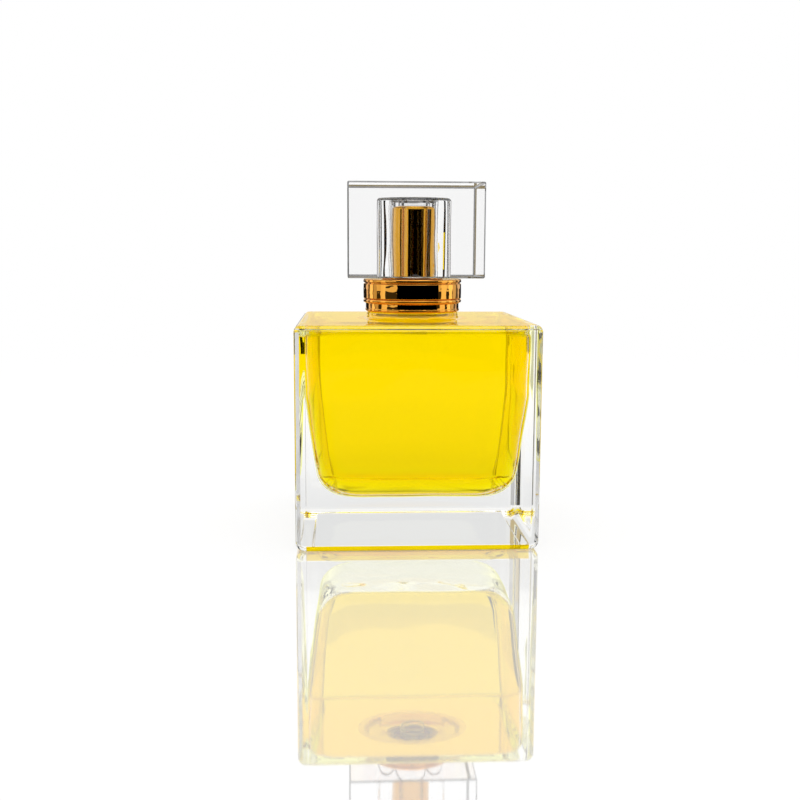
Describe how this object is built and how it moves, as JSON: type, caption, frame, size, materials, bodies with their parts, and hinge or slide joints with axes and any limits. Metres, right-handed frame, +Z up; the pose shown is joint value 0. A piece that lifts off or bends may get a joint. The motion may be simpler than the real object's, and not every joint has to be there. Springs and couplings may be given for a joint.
{
  "type": "aftershave spray bottle",
  "caption": "Square heavy-based glass spray bottle of yellow liquid, with a gold collar, a crimped push pump and a clear block cap around a gold cup that lifts off.",
  "frame": {"origin": "centre of the bottle's foot, on the surface it stands on", "axes": "+Z up along the neck, -Y the front face, +X to the right seen from the front"},
  "size_m": [0.056, 0.056, 0.084],
  "materials": {
    "bottle_glass": "clear, fire-polished",
    "yellow_liquid": "transparent yellow liquid",
    "clear_moulding": "clear moulded plastic",
    "white_moulding": "natural white moulded plastic",
    "ball_glass": "polished",
    "seal_rubber": "natural elastomer",
    "spring_steel": "drawn stainless wire",
    "gold_metal": "mirror-bright gold anodised",
    "cap_acrylic": "clear, polished",
    "bond_acrylic": "clear, bonded"
  },
  "bodies": {
    "bottle": {"glass_bottle": "bottle_glass", "aftershave_liquid": "yellow_liquid", "pump_housing": "clear_moulding", "dip_tube": "clear_moulding", "neck_gasket": "seal_rubber", "lock_ring": "white_moulding", "stem_seal": "seal_rubber", "crimp_ferrule": "gold_metal", "collar_carrier": "white_moulding", "collar_shell": "gold_metal", "collar_base_ring": "gold_metal"},
    "inlet_valve": {"inlet_ball": "ball_glass"},
    "pump_stem": {"stem": "white_moulding", "return_spring": "spring_steel"},
    "pump_piston": {"piston": "clear_moulding"},
    "actuator": {"actuator_core": "white_moulding", "actuator_sheath": "gold_metal", "nozzle_insert": "white_moulding"},
    "cap": {"cap_block": "cap_acrylic", "cap_liner": "gold_metal", "cap_plug": "bond_acrylic", "cap_grip_sleeve": "white_moulding"}
  },
  "joints": [
    {"name": "cap_lift", "type": "slide", "parent": "bottle", "child": "cap", "axis": [0, 0, 1], "range_m": [0, 0.026]},
    {"name": "pump_press", "type": "slide", "parent": "bottle", "child": "pump_stem", "axis": [0, 0, 1], "range_m": [-0.004, 0], "stiffness_N_per_m": 600, "springref_m": 0.003, "deforming": ["return_spring"]},
    {"name": "actuator_turn", "type": "hinge", "parent": "pump_stem", "child": "actuator", "pos_m": [0, 0, 0.07], "axis": [0, 0, 1], "continuous": true},
    {"name": "piston_slip", "type": "slide", "parent": "pump_stem", "child": "pump_piston", "axis": [0, 0, 1], "range_m": [0, 0.0005]},
    {"name": "inlet_ball_lift", "type": "slide", "parent": "bottle", "child": "inlet_valve", "axis": [0, 0, 1], "range_m": [0, 0.0008]}
  ]
}
